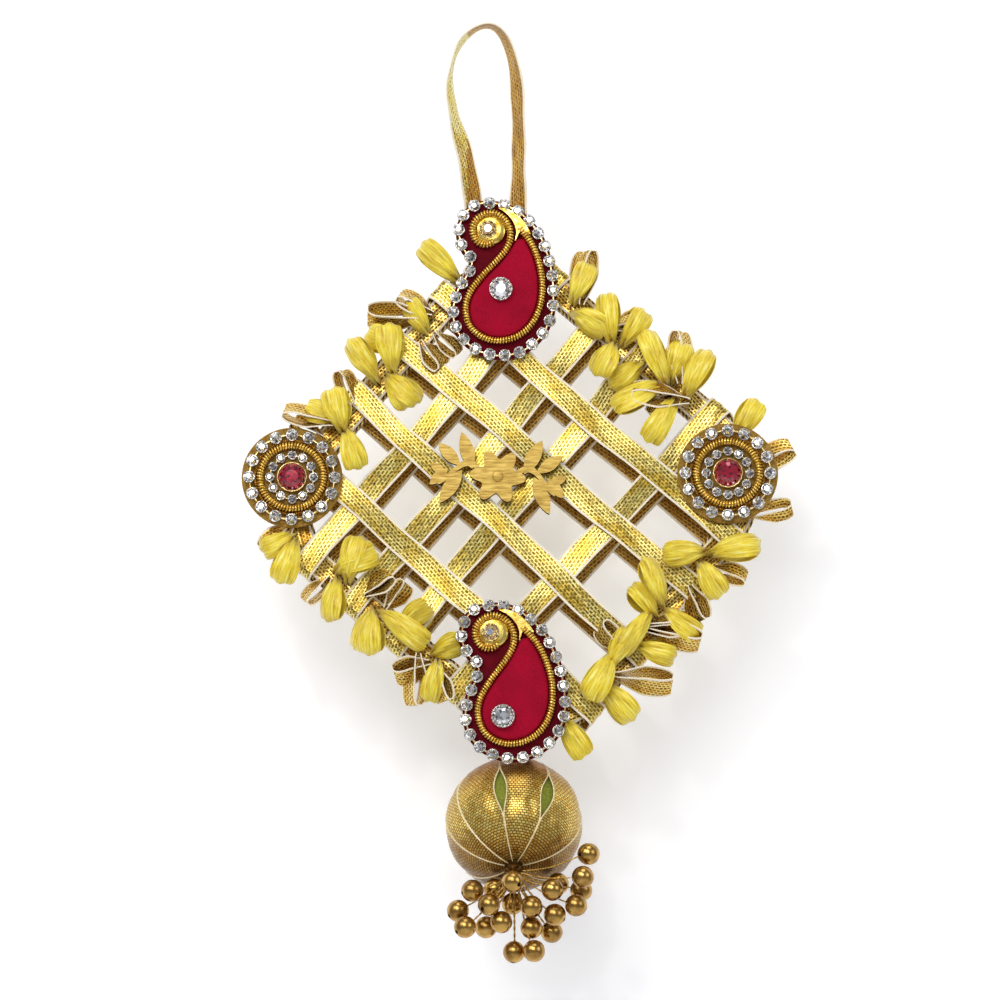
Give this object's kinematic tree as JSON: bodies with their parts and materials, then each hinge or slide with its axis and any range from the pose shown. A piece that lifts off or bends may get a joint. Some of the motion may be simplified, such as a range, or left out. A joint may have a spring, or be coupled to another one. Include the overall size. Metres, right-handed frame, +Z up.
{
  "type": "ribbon door hanging",
  "caption": "Diamond door hanging of wound gold ribbon on a rounded square frame, with loop trim, paisley and round stone patches, a covered ball and a bead tassel.",
  "frame": {"origin": "hang point, at the inner top of the hanging loop", "axes": "+Z up, the decorated front faces -Y, +X to the viewer's right"},
  "size_m": [0.132, 0.0368, 0.2264],
  "materials": {
    "frame_board": "matt board under ribbon",
    "gold_ribbon": "woven metallic gold ribbon with cream edges",
    "yellow_satin": "yellow satin ribbon, soft sheen",
    "red_felt": "red velvet felt",
    "patch_net": "pale gold backing",
    "coil_gold": "fine gold bullion wire coil",
    "clear_stone": "clear cut stones in bright silver cups",
    "red_gem": "faceted dark red stone",
    "ornament_gold": "gold painted thin board with dark cut edges",
    "ball_tissue": "old gold woven tissue ribbon",
    "bead_gold": "antique gold glossy beads"
  },
  "bodies": {
    "root": {"frame_upper_left": "frame_board", "frame_upper_right": "frame_board", "frame_lower_right": "frame_board", "frame_lower_left": "frame_board", "strand_over_1": "gold_ribbon", "strand_over_2": "gold_ribbon", "strand_over_3": "gold_ribbon", "strand_over_4": "gold_ribbon", "strand_under_1": "gold_ribbon", "strand_under_2": "gold_ribbon", "strand_under_3": "gold_ribbon", "strand_under_4": "gold_ribbon", "trim_upper_left": "yellow_satin", "trim_upper_right": "yellow_satin", "trim_lower_right": "yellow_satin", "trim_lower_left": "yellow_satin", "top_paisley_base": "red_felt", "top_paisley_pad": "red_felt", "top_paisley_coil": "coil_gold", "top_paisley_chain": "clear_stone", "top_paisley_centre_stone": "clear_stone", "top_paisley_head_stone": "clear_stone", "bottom_paisley_base": "red_felt", "bottom_paisley_pad": "red_felt", "bottom_paisley_coil": "coil_gold", "bottom_paisley_chain": "clear_stone", "bottom_paisley_centre_stone": "clear_stone", "bottom_paisley_head_stone": "clear_stone", "left_round_base": "patch_net", "left_round_outer_stones": "clear_stone", "left_round_inner_stones": "clear_stone", "left_round_coil": "coil_gold", "left_round_gem": "red_gem", "right_round_base": "patch_net", "right_round_outer_stones": "clear_stone", "right_round_inner_stones": "clear_stone", "right_round_coil": "coil_gold", "right_round_gem": "red_gem", "centre_ornament": "ornament_gold", "hang_loop": "gold_ribbon", "ball": "ball_tissue", "ball_tie": "gold_ribbon", "bead_tassel": "bead_gold"}
  },
  "joints": []
}
